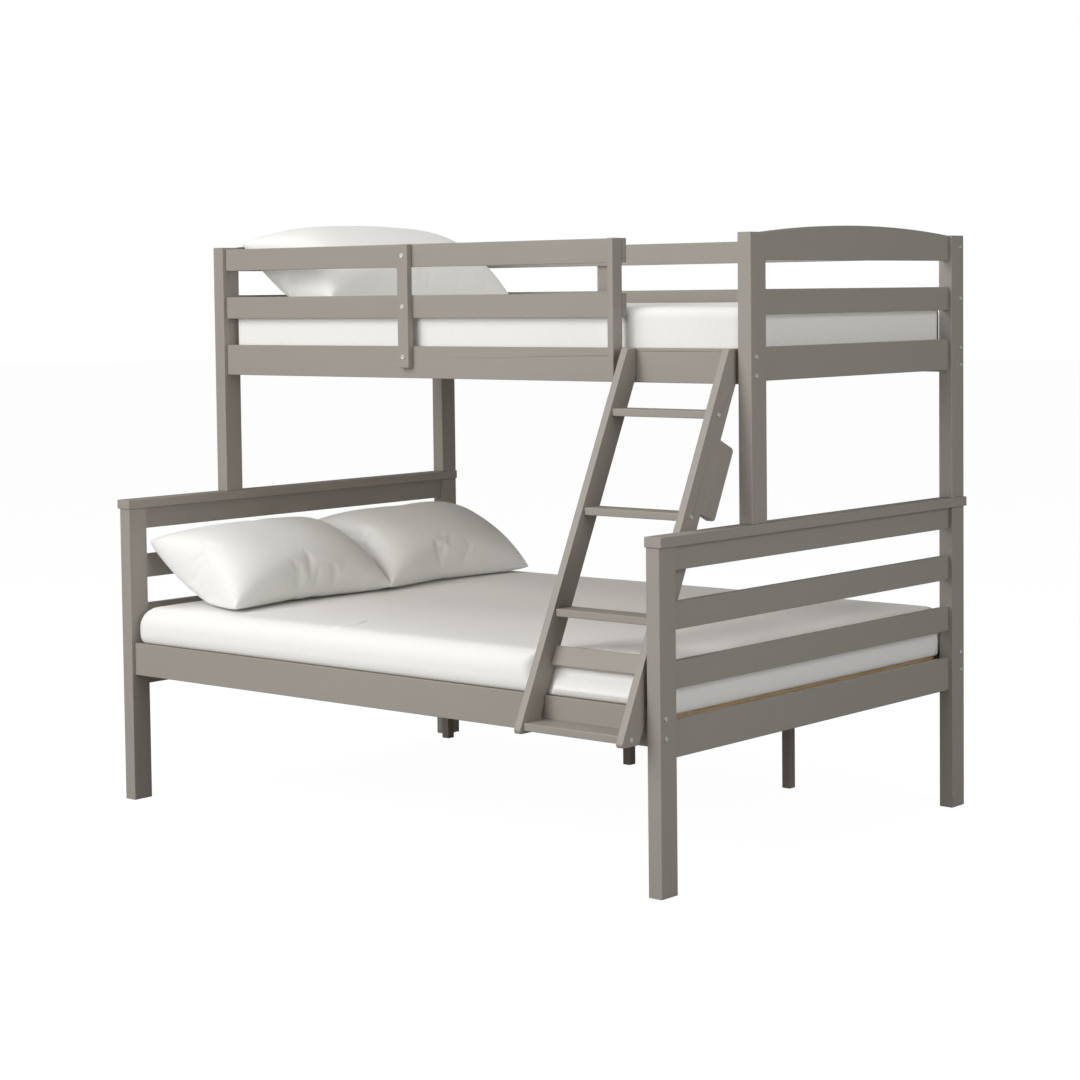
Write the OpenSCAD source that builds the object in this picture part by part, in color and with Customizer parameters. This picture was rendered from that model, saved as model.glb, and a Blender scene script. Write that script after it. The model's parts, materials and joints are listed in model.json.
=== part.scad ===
// Bunk bed with a sloped ladder: a narrow bed stands on the end frames of a wide bed.
// Millimetres. X runs along the bed from its head (-X) to its foot (+X), Y from the ladder side
// to the back, Z up. The origin is on the floor under the middle of the whole object.

/* [Overall] */
// Length over the outer faces of the posts
bed_length = 2030; // [1690:5:2440]
// Width of the lower bed over its posts
lower_width = 1440; // [1200:5:1730]
// Width of the upper bed over its posts
upper_width = 1048; // [872:2:1260]
// Height of the lower posts, up to the underside of the cap boards
lower_post_h = 873; // [720:1:1050]
// Height of the upper posts, from the top of the cap boards
upper_post_h = 751; // [625:1:905]

/* [Posts and cap boards] */
// Post size along the bed
post_x = 42; // [34:1:52]
// Post size across the bed
post_y = 66; // [54:1:80]
// Thickness of the boards on top of the lower end frames
cap_t = 27; // [18:1:34]
// Overhang of a cap board past the outer faces of the posts
cap_out = 8; // [2:1:14]
// Overhang of a cap board on its other three sides
cap_side = 3; // [1:1:8]

/* [Rails] */
// Thickness of every rail and slat board
rail_t = 19; // [15:0.5:23]
// How far the front rails lie behind the front face of the posts
front_setback = 12; // [6:1:18]
// How far the back rails lie in front of the back face of the posts
back_setback = 8; // [4:1:14]
// Height of the side rails of the lower bed
lower_side_h = 96; // [80:1:116]
// Underside of the side rails of the lower bed above the floor
lower_side_z = 376; // [313:1:420]
// Height of the bottom rails of the lower end frames
lower_end_h = 94; // [78:1:112]
// Drop of those bottom rails below the underside of the side rails
lower_end_drop = 33; // [10:1:50]
// Height of the two slats in a lower end frame
end_slat_h = 70; // [50:1:84]
// Height of the top rail of a lower end frame
lower_top_h = 62; // [45:1:76]
// Height of the side rails of the upper bed
upper_side_h = 92; // [77:1:110]
// Underside of the upper side rails above the cap boards
upper_side_z = 360; // [300:1:400]
// Height of the bottom rails of the upper end frames
upper_end_h = 88; // [74:1:104]
// Rise of those bottom rails above the underside of the side rails
upper_end_rise = 7; // [0:1:16]
// Height of the arched top rails at their ends
arch_end_h = 72; // [50:1:84]
// Rise of the arch in the middle
arch_rise = 22; // [8:1:40]

/* [Guard rails] */
// Height of a guard rail board
guard_h = 66; // [50:1:74]
// Shift of the middle rails above the middle of the space they stand in
guard_mid_shift = 3; // [0:1:8]
// How far the front guard rails lie below the back ones
front_guard_drop = 6; // [0:1:12]
// Width of a guard upright
upright_w = 41; // [34:1:50]
// Thickness of a guard upright
upright_t = 20; // [16:1:24]
// Centre of the middle upright, from the outer face of the head posts
mid_upright_x = 809; // [600:5:1000]
// Distance of the back upright from the head end
back_upright_x = 699; // [600:1:1000]
// Ladder gap between the end upright and the foot post
ladder_gap = 387; // [375:1:460]
// Underside of the middle upright above the underside of the side rail
mid_upright_lift = 30; // [10:1:40]
// Underside of the end upright above the underside of the side rail
end_upright_lift = 4; // [0:1:20]

/* [Ladder] */
// Width of the ladder over its stiles
ladder_width = 353; // [294:1:360]
// Gap from the foot post to the ladder
ladder_side_gap = 10; // [4:1:14]
// Thickness of a stile
stile_t = 21.5; // [18:0.5:26]
// Depth of a stile, square to its length
stile_d = 64.5; // [54:0.5:77]
// Depth of the notch that seats a stile on the lower side rail
stile_notch = 10; // [6:1:14]
// Foot of the ladder above the underside of the lower side rail
foot_lift = 8; // [0:1:20]
// Level depth of the stiles at their top, where they end against the upper side rail
top_reach = 36; // [28:1:44]
// Radius of the two corners of a stile's foot
foot_r = 9; // [3:1:14]
// Thickness of a tread
tread_t = 20; // [16:1:24]
// Depth of the three upper treads
tread_d = 66; // [50:1:68]
// How far a tread lies behind the front edge of the stiles
tread_inset = 5; // [2:1:12]
// Top of the bottom tread above the foot of the ladder
tread_first = 28; // [24:1:40]
// Top of the second tread above the foot of the ladder
tread_second = 306; // [280:1:320]
// Top of the highest tread below the top of the upper side rail
tread_top_drop = 157; // [130:1:190]
// Height of the board between the two lowest treads, square to its length
stretcher_h = 52; // [40:1:64]
// Lower edge of that board above the foot of the ladder, along the front edge of the stiles
stretcher_z = 184; // [160:1:204]
// Length of the spacer block on the foot-side stile
block_l = 202; // [150:1:240]
// Depth of the spacer block
block_d = 63; // [40:1:70]
// Radius of the block's two free corners
block_r = 11; // [4:1:16]

/* [Mattress supports] */
// Width of a mattress slat
slat_w = 66; // [50:1:90]
// Thickness of a mattress slat
slat_t = 15; // [12:1:19]
// Number of mattress slats in each bed
slat_count = 12; // [8:1:14]
// Depth of the slats' top face below the top of the side rails
slat_drop = 36; // [24:1:40]
// Distance from the first and last slat to the posts
slat_end_gap = 26; // [10:1:60]
// Size of the square cleats under the slats
cleat = 24; // [18:1:28]
// Size of the square support legs
leg_w = 29; // [24:1:40]
// Distance from the back of the lower bed to the back of the support legs
leg_back = 95; // [80:1:140]
// Distance of the first support leg from the outer face of the head posts
leg_head = 90; // [80:1:200]
// Distance of the second support leg from the middle of the bed, toward the head
leg_middle = 142; // [0:1:300]
// Distance of the third support leg from the outer face of the foot posts
leg_foot = 543; // [400:1:600]
// Height of the beam that the legs carry
beam_h = 45; // [30:1:60]

/* [Bedding] */
// Gap from a mattress to the side rails
mattress_gap = 4; // [4:0.5:8]
// Gap from a mattress to the posts at its ends
mattress_end_gap = 8; // [4:1:20]
// Thickness of both mattresses
mattress_t = 143; // [120:1:172]
// Radius of the mattresses' long edges
mattress_r = 42; // [20:1:44]
// How far the lower mattress swells over its side rails
mattress_swell = 25; // [10:1:27]
// Width of the pillows, from the head end toward the foot
pillow_w = 430; // [350:10:470]
// Thickness of the pillows
pillow_t = 150; // [100:2:170]
// Lean of the pillows against the head end, degrees
pillow_lean = 27; // [20:1:32]
// Gap from the pillows' upper edge to the end boards
pillow_gap = 24; // [18:1:40]
// Gap from the outer ends of the lower pillows to the long edges of the mattress
pillow_side = 42; // [20:1:120]
// Gap from the upper pillow to the front edge of its mattress
long_pillow_front = 36; // [10:1:160]
// Gap from the upper pillow to the back edge of its mattress
long_pillow_back = 112; // [10:1:160]

/* [Fasteners] */
// Diameter of the bolts
bolt_d = 6; // [5:0.5:7]
// Diameter of a bolt head
head_d = 14; // [11:0.5:16]
// Height of a bolt head
head_h = 3; // [2:0.5:3]
// Size of the hexagonal socket in a bolt head, over its corners
socket_d = 5; // [3:0.5:6]
// Spacing of the pair of bolts in a side rail
bolt_pair = 50; // [36:1:60]
// Diameter of a barrel nut
nut_d = 10; // [9:0.5:14]
// Wood left between a barrel nut's hole and the outer face of its rail
nut_wall = 4; // [2:0.5:5]
// Distance from the end of a rail to its barrel nut
nut_in = 34; // [24:1:50]
// Diameter of the dowels between the cap boards and the upper posts
dowel_d = 12; // [8:1:16]
// Length of those dowels
dowel_l = 60; // [40:1:90]
// Wood left under those dowels
dowel_floor = 3; // [2:0.5:6]
// Clearance of a bolt or dowel in its hole, on the diameter
hole_clear = 0.6; // [0.3:0.1:1]
// Clearance between pieces that lift off and what they lie on or pass
lift_clear = 0.5; // [0.3:0.1:1]
// Straight lift that the lower mattress has before it meets the ladder
lift_free = 12; // [5:1:20]

/* [Hidden] */

paint = "#9a958d";
bare_wood = "#c9ab7e";
zinc = "#c4c8c8";
linen = "#ececea";

round_fn = 48;
arc_fn = 360;
soft_fn = 24;
cut = 1;

half_l = bed_length / 2;
// The ladder's foot reaches out so far that its notches meet the lower side rail
stile_rise = lower_post_h + cap_t + upper_side_z + upper_side_h - lower_side_z - foot_lift;
notch_share = (lower_side_h - foot_lift) / stile_rise;
top_in = lower_width - upper_width + front_setback - top_reach;
function reach_for(slope) = (top_in * notch_share + stile_d * sqrt(1 + slope * slope)
    - front_setback - stile_notch) / (1 - notch_share);
// The slope follows from the reach, so the reach is found in a few rounds
reach_rounds = 8;
function settled_reach(reach, rounds) = rounds == 0 ? reach
    : settled_reach(reach_for((top_in + reach) / stile_rise), rounds - 1);
foot_reach = settled_reach(stile_d, reach_rounds);
lower_front = (foot_reach - cap_side - lower_width) / 2;
back_y = lower_front + lower_width;
end_inset = (post_x - rail_t) / 2;
end_face_x = half_l - end_inset - rail_t;
cap_top = lower_post_h + cap_t;
top_z = cap_top + upper_post_h;
upper_front = back_y - upper_width;
rail_l = bed_length - 2 * post_x;
hole_d = bolt_d + hole_clear;

// Front faces of the front rails and of the back rails
lower_rail_y = lower_front + front_setback;
upper_rail_y = upper_front + front_setback;
back_rail_y = back_y - back_setback - rail_t;

// Heights in the lower bed; the two slats of an end frame share out the space that is left
lower_side_top = lower_side_z + lower_side_h;
lower_end_bottom = lower_side_z - lower_end_drop;
lower_end_top = lower_end_bottom + lower_end_h;
lower_top_bottom = lower_post_h - lower_top_h;
end_slat_gap = (lower_top_bottom - lower_end_top - 2 * end_slat_h) / 3;
low_slat_bottom = lower_end_top + end_slat_gap;
high_slat_bottom = low_slat_bottom + end_slat_h + end_slat_gap;

// Heights in the upper bed
upper_side_bottom = cap_top + upper_side_z;
upper_side_top = upper_side_bottom + upper_side_h;
upper_end_bottom = upper_side_bottom + upper_end_rise;
guard_top_bottom = top_z - guard_h;
mid_bottom = (upper_side_top + guard_top_bottom - guard_h) / 2 + guard_mid_shift;
front_top_bottom = guard_top_bottom - front_guard_drop;
front_mid_bottom = mid_bottom - front_guard_drop;
mid_upright_bottom = upper_side_bottom + mid_upright_lift;
end_upright_bottom = upper_side_bottom + end_upright_lift;
end_upright_x = half_l - post_x - ladder_gap;

// Ladder: the front edge of its stiles is a line in Y and Z
ladder_x1 = half_l - post_x - ladder_side_gap;
ladder_x0 = ladder_x1 - ladder_width;
foot_z = lower_side_z + foot_lift;
foot_y = lower_front - foot_reach;
slope = (upper_rail_y - top_reach - foot_y) / (upper_side_top - foot_z);
ladder_lean = atan(slope);
stile_run = stile_d / cos(ladder_lean);
tread_l = ladder_width - 2 * stile_t;
second_tread_top = foot_z + tread_second;
top_tread_top = upper_side_top - tread_top_drop;
third_tread_top = (second_tread_top + top_tread_top) / 2;
tread_tops = [foot_z + tread_first, second_tread_top, third_tread_top, top_tread_top];

// Mattress supports
lower_slat_z = lower_side_top - slat_drop - slat_t;
upper_slat_z = upper_side_top - slat_drop - slat_t;
beam_span = rail_l - 2 * lift_clear;
slat_pitch = (rail_l - 2 * slat_end_gap - slat_w) / (slat_count - 1);
leg_y = back_y - leg_back - leg_w;

// Bedding
mattress_l = rail_l - 2 * mattress_end_gap;
mattress_back = back_rail_y - mattress_gap;
lower_mattress_y = lower_rail_y + rail_t + mattress_gap;
upper_mattress_y = upper_rail_y + rail_t + mattress_gap;
lower_mid_y = (lower_mattress_y + mattress_back) / 2;
lower_bed_top = lower_slat_z + slat_t + lift_clear + mattress_t;
upper_bed_top = upper_slat_z + slat_t + lift_clear + mattress_t;
pillow_l = (mattress_back - lower_mattress_y) / 2 - pillow_side;
long_pillow_l = mattress_back - upper_mattress_y - long_pillow_front - long_pillow_back;
long_pillow_y = upper_mattress_y + long_pillow_front + long_pillow_l / 2;
dent_clear = lift_clear + lift_free * slope;

// Bolts: which end of the bed (-1 head, 1 foot), Y and Z
nut_hole = rail_t - nut_wall;
nut_l = nut_hole - 2 * lift_clear;
front_bolt_in = front_setback + rail_t / 2;
back_bolt_y = back_y - back_setback - rail_t / 2;
lower_side_mid = lower_side_z + lower_side_h / 2;
upper_side_mid = upper_side_bottom + upper_side_h / 2;
lower_bolts = [
    for (s = [-1, 1], y = [lower_front + front_bolt_in, back_bolt_y], k = [-1, 1])
        [s, y, lower_side_mid + k * bolt_pair / 2]
];
upper_bolts = [
    for (s = [-1, 1], y = [upper_front + front_bolt_in, back_bolt_y], k = [-1, 1])
        [s, y, upper_side_mid + k * bolt_pair / 2]
];
back_guard_bolts = [
    for (s = [-1, 1], z = [guard_top_bottom, mid_bottom])
        [s, back_bolt_y, z + guard_h / 2]
];
front_guard_bolts = [
    for (z = [front_top_bottom, front_mid_bottom])
        [-1, upper_front + front_bolt_in, z + guard_h / 2]
];
all_bolts = concat(lower_bolts, upper_bolts, back_guard_bolts, front_guard_bolts);

// Heights of the bolts through the uprights; the lowest one of the end upright clears the slats
guard_bolt_zs = [front_top_bottom + guard_h / 2, front_mid_bottom + guard_h / 2];
mid_upright_bolt_z = (mid_upright_bottom + upper_side_top) / 2;
inside_bolt_z = upper_side_top - head_d;

function front_y(z) = foot_y + (z - foot_z) * slope;

// A box from its lowest corner
module board(corner, size) {
    translate(corner) cube(size);
}

// Turns a drawing in Y and Z into a board of thickness t along X
module side_profile(t) {
    rotate([90, 0, 90]) linear_extrude(t) children();
}

// What rounding a corner takes off: p is the corner, a and b the directions of its two edges
module corner_cut(p, a, b, r) {
    half = (b - a) / 2;
    reach = r + cut;
    translate(p) rotate((a + b) / 2) translate([r / sin(half), 0]) difference() {
        polygon([
            [0, 0],
            [-reach * sin(half), reach * cos(half)],
            [-reach / sin(half), 0],
            [-reach * sin(half), -reach * cos(half)]
        ]);
        circle(r = r, $fn = round_fn);
    }
}

// A rod of length l along -X from x
module rod(x, l, d) {
    translate([x - l, 0, 0]) rotate([0, 90, 0]) cylinder(d = d, h = l, $fn = round_fn);
}

// A bolt along -X: the underside of its head is at the origin
module bolt(length) {
    difference() {
        union() {
            rod(head_h, head_h, head_d);
            rod(cut, length + cut, bolt_d);
        }
        translate([head_h / 3, 0, 0]) rotate([0, 90, 0]) cylinder(d = socket_d, h = head_h, $fn = 6);
    }
}

// Puts what follows at the place of a bed bolt, mirrored at the head end
module at_bed_bolt(b) {
    translate([b[0] * half_l, b[1], b[2]]) mirror([b[0] < 0 ? 1 : 0, 0, 0]) children();
}

// What the bed bolts take out of the posts and rails
module bolt_holes(bolts) {
    for (b = bolts)
        at_bed_bolt(b) rod(cut, post_x + nut_in + nut_d + cut, hole_d);
}

// A barrel nut lies across its rail and faces the inside of the bed
module nut_shape(b, d, length, from_inside) {
    inward = b[1] < back_bolt_y ? 1 : -1;
    x = b[0] * (half_l - post_x - nut_in);
    translate([x, b[1] + inward * (rail_t / 2 - from_inside), b[2]]) rotate([inward * 90, 0, 0])
        cylinder(d = d, h = length, $fn = round_fn);
}

module dowel_places() {
    for (s = [-1, 1], y = [upper_front + post_y / 2, back_y - post_y / 2])
        translate([s * (half_l - post_x / 2), y, lower_post_h + dowel_floor]) children();
}

module dowel_holes() {
    dowel_places() translate([0, 0, -lift_clear])
        cylinder(d = dowel_d + hole_clear, h = dowel_l + 2 * lift_clear, $fn = round_fn);
}

// A post at one end of the bed: front face y, bottom z and height
module post(side, y, z, h) {
    difference() {
        board([side < 0 ? -half_l : half_l - post_x, y, z], [post_x, post_y, h]);
        bolt_holes(all_bolts);
        dowel_holes();
    }
}

// A board across an end frame, between its two posts; y is the front face of the front post
module end_board(side, y, z, h) {
    x = side < 0 ? -end_face_x - rail_t : end_face_x;
    board([x, y + post_y, z], [rail_t, back_y - 2 * post_y - y, h]);
}

module cap_board(side) {
    x = side < 0 ? -half_l - cap_out : half_l - post_x - cap_side;
    difference() {
        board([x, lower_front - cap_side, lower_post_h],
            [post_x + cap_out + cap_side, lower_width + 2 * cap_side, cap_t]);
        dowel_holes();
    }
}

// A straight underside and a top edge that is an arc of a circle
module arched_rail(side) {
    span = upper_width - 2 * post_y;
    crown = arch_end_h + arch_rise;
    arc_r = (span * span / 4 + arch_rise * arch_rise) / (2 * arch_rise);
    translate([side < 0 ? -end_face_x - rail_t : end_face_x, upper_front + post_y, top_z - arch_end_h])
        side_profile(rail_t) intersection() {
            square([span, crown]);
            translate([span / 2, crown - arc_r]) circle(r = arc_r, $fn = arc_fn);
        }
}

// A rail along the bed between the posts, with the holes of its bolts and barrel nuts
module side_rail(y, z, h, bolts) {
    drilled_rail([-half_l + post_x, y, z], [rail_l, rail_t, h], bolts);
}

module drilled_rail(corner, size, bolts) {
    difference() {
        board(corner, size);
        bolt_holes(bolts);
        for (b = bolts)
            nut_shape(b, nut_d + hole_clear, nut_hole + cut, -cut);
    }
}

// A front guard rail runs from the head post to the end upright
module front_guard_rail(z, bolt) {
    difference() {
        drilled_rail([-half_l + post_x, upper_rail_y, z],
            [end_upright_x + half_l - post_x, rail_t, guard_h], [bolt]);
        guard_bolt_holes();
    }
}

// A back guard rail runs from post to post
module back_guard_rail(z) {
    difference() {
        side_rail(back_rail_y, z, guard_h, back_guard_bolts);
        guard_bolt_holes();
    }
}

// The middle and back uprights are bolted from outside, the end upright from inside
module guard_bolt_places() {
    for (z = concat(guard_bolt_zs, mid_upright_bolt_z))
        translate([-half_l + mid_upright_x, upper_rail_y - upright_t, z]) rotate([0, 0, -90]) children();
    for (z = [guard_top_bottom + guard_h / 2, mid_bottom + guard_h / 2, mid_upright_bolt_z])
        translate([-half_l + back_upright_x, back_rail_y + rail_t + upright_t, z])
            rotate([0, 0, 90]) children();
    for (z = concat(guard_bolt_zs, inside_bolt_z))
        translate([end_upright_x - upright_t / 2, upper_rail_y + rail_t, z]) rotate([0, 0, 90]) children();
}

module guard_bolt_holes() {
    guard_bolt_places() rod(cut, upright_t + rail_t + 2 * cut, hole_d);
}

// Level top and foot, cut plumb against the upper side rail and notched over the lower one
module stile_outline() {
    top_y = front_y(upper_side_top);
    difference() {
        intersection() {
            polygon([
                [foot_y, foot_z],
                [foot_y + stile_run, foot_z],
                [top_y + stile_run, upper_side_top],
                [top_y, upper_side_top]
            ]);
            translate([-bed_length, 0]) square([bed_length + upper_rail_y, 2 * top_z]);
        }
        translate([lower_rail_y, lower_side_z]) square([lower_width, lower_side_h]);
        corner_cut([foot_y, foot_z], 0, 90 - ladder_lean, foot_r);
        corner_cut([foot_y + stile_run, foot_z], 90 - ladder_lean, 180, foot_r);
    }
}

module ladder_stile(x) {
    difference() {
        translate([x, 0, 0]) side_profile(stile_t) stile_outline();
        ladder_bolt_places() rod(cut, stile_t + nut_in + cut, hole_d);
        mount_bolt_holes();
    }
}

// Bolts through both stiles into the ends of the treads
module ladder_bolt_places() {
    for (top = tread_tops, s = [-1, 1])
        translate([s > 0 ? ladder_x1 : ladder_x0, front_y(top - tread_t / 2) + stile_run / 2 - tread_inset,
                top - tread_t / 2])
            mirror([s < 0 ? 1 : 0, 0, 0]) children();
}

// One bolt for each stile passes through the upper side rail from inside
module mount_bolt_places() {
    for (x = [ladder_x0 + stile_t / 2, ladder_x1 - stile_t / 2])
        translate([x, upper_rail_y + rail_t, inside_bolt_z]) rotate([0, 0, 90]) children();
}

module mount_bolt_holes() {
    mount_bolt_places() rod(cut, rail_t + stile_t + cut, hole_d);
}

// The bottom tread reaches back to the lower side rail
module ladder_tread(i) {
    y = front_y(tread_tops[i]) + tread_inset;
    difference() {
        board([ladder_x0 + stile_t, y, tread_tops[i] - tread_t],
            [tread_l, i == 0 ? lower_rail_y - y : tread_d, tread_t]);
        ladder_bolt_places() rod(cut, stile_t + nut_in + cut, hole_d);
    }
}

// Puts what follows in the leaning frame of the stiles, at height z of their front edge
module on_stile(x, z) {
    translate([x, front_y(z), z]) rotate([-ladder_lean, 0, 0]) children();
}

// Cleats on the inner faces of a pair of side rails
module cleats(front_rail_y, slat_z) {
    for (y = [front_rail_y + rail_t, back_rail_y - cleat])
        board([-half_l + post_x + cleat, y, slat_z - cleat], [rail_l - 2 * cleat, cleat, cleat]);
}

// The row of mattress slats of one bed
module slats(front_rail_y, slat_z) {
    y = front_rail_y + rail_t + lift_clear;
    for (i = [0:slat_count - 1])
        board([-rail_l / 2 + slat_end_gap + i * slat_pitch, y, slat_z],
            [slat_w, back_rail_y - lift_clear - y, slat_t]);
}

// A board with rounded long edges, from its lower front edge, seen from the end
module rounded_profile(width, height, r) {
    translate([r, 0]) square([width - 2 * r, height]);
    translate([0, r]) square([width, height - 2 * r]);
    for (y = [r, width - r], z = [r, height - r])
        translate([y, z]) circle(r = r, $fn = round_fn);
}

module mattress(front, slat_z) {
    translate([-mattress_l / 2, front, slat_z + slat_t + lift_clear])
        side_profile(mattress_l) rounded_profile(mattress_back - front, mattress_t, mattress_r);
}

// The part of the lower mattress that lies between the side rails, seen from the end
module lower_mattress_core() {
    translate([lower_mattress_y, lower_bed_top - mattress_t])
        square([mattress_back - lower_mattress_y, mattress_t / 2]);
}

// The part that swells out above the side rails
module mattress_swelling() {
    bottom = lower_side_top + lift_clear;
    swollen_width = mattress_back - lower_mattress_y + 2 * mattress_swell;
    translate([lower_mattress_y - mattress_swell, bottom])
        rounded_profile(swollen_width, lower_bed_top - bottom, mattress_r);
}

// Room for the ladder over the front edge of the lower mattress, over its straight lift as well
module ladder_recess() {
    low = lower_side_z;
    back = stile_run + dent_clear;
    translate([ladder_x0 - lift_clear, 0, 0]) side_profile(ladder_width + 2 * lift_clear) polygon([
        [front_y(low) - stile_run, low],
        [front_y(low) + back, low],
        [front_y(top_z) + back, top_z],
        [front_y(top_z) - stile_run, top_z]
    ]);
}

// A pillow that leans on the head end, lowest at its foot-side edge
module pillow(length, mid_y, bed_z) {
    edge_r = pillow_t / 8;
    core_r = pillow_t / 2;
    bottom = bed_z + lift_clear + edge_r + pillow_w * sin(pillow_lean);
    translate([-end_face_x + pillow_gap, mid_y, bottom]) rotate([0, pillow_lean, 0])
        pillow_shape(length, edge_r, core_r);
}

module pillow_shape(length, edge_r, core_r) {
    hull() {
        for (x = [edge_r, pillow_w - edge_r], y = [-1, 1] * (length / 2 - edge_r))
            translate([x, y, 0]) sphere(r = edge_r, $fn = soft_fn);
        for (y = [-1, 1] * (length - pillow_w) / 2)
            translate([pillow_w / 2, y, 0]) sphere(r = core_r, $fn = soft_fn);
    }
}

module lower_post_head_front() {
    color(paint) post(-1, lower_front, 0, lower_post_h);
}

module lower_post_head_back() {
    color(paint) post(-1, back_y - post_y, 0, lower_post_h);
}

module lower_post_foot_front() {
    color(paint) post(1, lower_front, 0, lower_post_h);
}

module lower_post_foot_back() {
    color(paint) post(1, back_y - post_y, 0, lower_post_h);
}

module cap_board_head() {
    color(paint) cap_board(-1);
}

module cap_board_foot() {
    color(paint) cap_board(1);
}

module lower_top_rail_head() {
    color(paint) end_board(-1, lower_front, lower_top_bottom, lower_top_h);
}

module lower_top_rail_foot() {
    color(paint) end_board(1, lower_front, lower_top_bottom, lower_top_h);
}

module lower_high_slat_head() {
    color(paint) end_board(-1, lower_front, high_slat_bottom, end_slat_h);
}

module lower_low_slat_head() {
    color(paint) end_board(-1, lower_front, low_slat_bottom, end_slat_h);
}

module lower_high_slat_foot() {
    color(paint) end_board(1, lower_front, high_slat_bottom, end_slat_h);
}

module lower_low_slat_foot() {
    color(paint) end_board(1, lower_front, low_slat_bottom, end_slat_h);
}

module lower_bottom_rail_head() {
    color(paint) end_board(-1, lower_front, lower_end_bottom, lower_end_h);
}

module lower_bottom_rail_foot() {
    color(paint) end_board(1, lower_front, lower_end_bottom, lower_end_h);
}

module lower_side_rail_front() {
    color(paint) side_rail(lower_rail_y, lower_side_z, lower_side_h, lower_bolts);
}

module lower_side_rail_back() {
    color(paint) side_rail(back_rail_y, lower_side_z, lower_side_h, lower_bolts);
}

module upper_post_head_front() {
    color(paint) post(-1, upper_front, cap_top, upper_post_h);
}

module upper_post_head_back() {
    color(paint) post(-1, back_y - post_y, cap_top, upper_post_h);
}

module upper_post_foot_front() {
    color(paint) post(1, upper_front, cap_top, upper_post_h);
}

module upper_post_foot_back() {
    color(paint) post(1, back_y - post_y, cap_top, upper_post_h);
}

module arched_rail_head() {
    color(paint) arched_rail(-1);
}

module arched_rail_foot() {
    color(paint) arched_rail(1);
}

module upper_mid_rail_head() {
    color(paint) end_board(-1, upper_front, mid_bottom, guard_h);
}

module upper_mid_rail_foot() {
    color(paint) end_board(1, upper_front, mid_bottom, guard_h);
}

module upper_bottom_rail_head() {
    color(paint) end_board(-1, upper_front, upper_end_bottom, upper_end_h);
}

module upper_bottom_rail_foot() {
    color(paint) end_board(1, upper_front, upper_end_bottom, upper_end_h);
}

// The front rail of the upper bed also holds the uprights and the top of the ladder
module upper_side_rail_front() {
    color(paint) difference() {
        side_rail(upper_rail_y, upper_side_bottom, upper_side_h, upper_bolts);
        guard_bolt_holes();
        mount_bolt_holes();
    }
}

module upper_side_rail_back() {
    color(paint) difference() {
        side_rail(back_rail_y, upper_side_bottom, upper_side_h, upper_bolts);
        guard_bolt_holes();
    }
}

module guard_top_rail_front() {
    color(paint) front_guard_rail(front_top_bottom, front_guard_bolts[0]);
}

module guard_mid_rail_front() {
    color(paint) front_guard_rail(front_mid_bottom, front_guard_bolts[1]);
}

module guard_top_rail_back() {
    color(paint) back_guard_rail(guard_top_bottom);
}

module guard_mid_rail_back() {
    color(paint) back_guard_rail(mid_bottom);
}

module guard_upright_middle() {
    color(paint) difference() {
        board([-half_l + mid_upright_x - upright_w / 2, upper_rail_y - upright_t, mid_upright_bottom],
            [upright_w, upright_t, front_top_bottom + guard_h - mid_upright_bottom]);
        guard_bolt_holes();
    }
}

module guard_upright_end() {
    color(paint) difference() {
        board([end_upright_x - upright_t, upper_rail_y - upright_w, end_upright_bottom],
            [upright_t, upright_w, front_top_bottom + guard_h - end_upright_bottom]);
        guard_bolt_holes();
    }
}

module guard_upright_back() {
    color(paint) difference() {
        board([-half_l + back_upright_x - upright_w / 2, back_rail_y + rail_t, mid_upright_bottom],
            [upright_w, upright_t, guard_top_bottom + guard_h - mid_upright_bottom]);
        guard_bolt_holes();
    }
}

module ladder_stile_head() {
    color(paint) ladder_stile(ladder_x0);
}

module ladder_stile_foot() {
    color(paint) ladder_stile(ladder_x1 - stile_t);
}

module ladder_tread_bottom() {
    color(paint) ladder_tread(0);
}

module ladder_tread_second() {
    color(paint) ladder_tread(1);
}

module ladder_tread_third() {
    color(paint) ladder_tread(2);
}

module ladder_tread_top() {
    color(paint) ladder_tread(3);
}

module ladder_stretcher() {
    color(paint) on_stile(ladder_x0 + stile_t, foot_z + stretcher_z)
        board([0, stile_d - tread_t, 0], [tread_l, tread_t, stretcher_h]);
}

module ladder_spacer_block() {
    color(paint) on_stile(ladder_x1 - stile_t, third_tread_top - tread_inset)
        side_profile(stile_t) translate([stile_d, stile_d * slope]) difference() {
            square([block_d, block_l]);
            corner_cut([block_d, 0], 90, 180, block_r);
            corner_cut([block_d, block_l], 180, 270, block_r);
        }
}

module lower_cleats() {
    color(bare_wood) cleats(lower_rail_y, lower_slat_z);
}

module upper_cleats() {
    color(bare_wood) cleats(upper_rail_y, upper_slat_z);
}

module lower_slats() {
    color(bare_wood) slats(lower_rail_y, lower_slat_z);
}

module upper_slats() {
    color(bare_wood) slats(upper_rail_y, upper_slat_z);
}

module support_beam() {
    color(paint) board([-beam_span / 2 + leg_w, leg_y, lower_slat_z - beam_h],
        [beam_span - 2 * leg_w, leg_w, beam_h]);
}

module support_legs() {
    color(paint) for (x = [-half_l + leg_head, -leg_middle, half_l - leg_foot])
        board([x - leg_w / 2, leg_y, 0], [leg_w, leg_w, lower_slat_z - beam_h]);
}

module bed_bolts() {
    color(zinc) for (b = all_bolts)
        at_bed_bolt(b) bolt(post_x + nut_in + nut_d / 2);
}

module barrel_nuts() {
    color(zinc) difference() {
        for (b = all_bolts)
            nut_shape(b, nut_d, nut_l, lift_clear);
        bolt_holes(all_bolts);
    }
}

module guard_bolts() {
    color(zinc) guard_bolt_places() bolt(upright_t + rail_t - cut);
}

module ladder_bolts() {
    color(zinc) ladder_bolt_places() bolt(stile_t + nut_in - cut);
}

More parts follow.
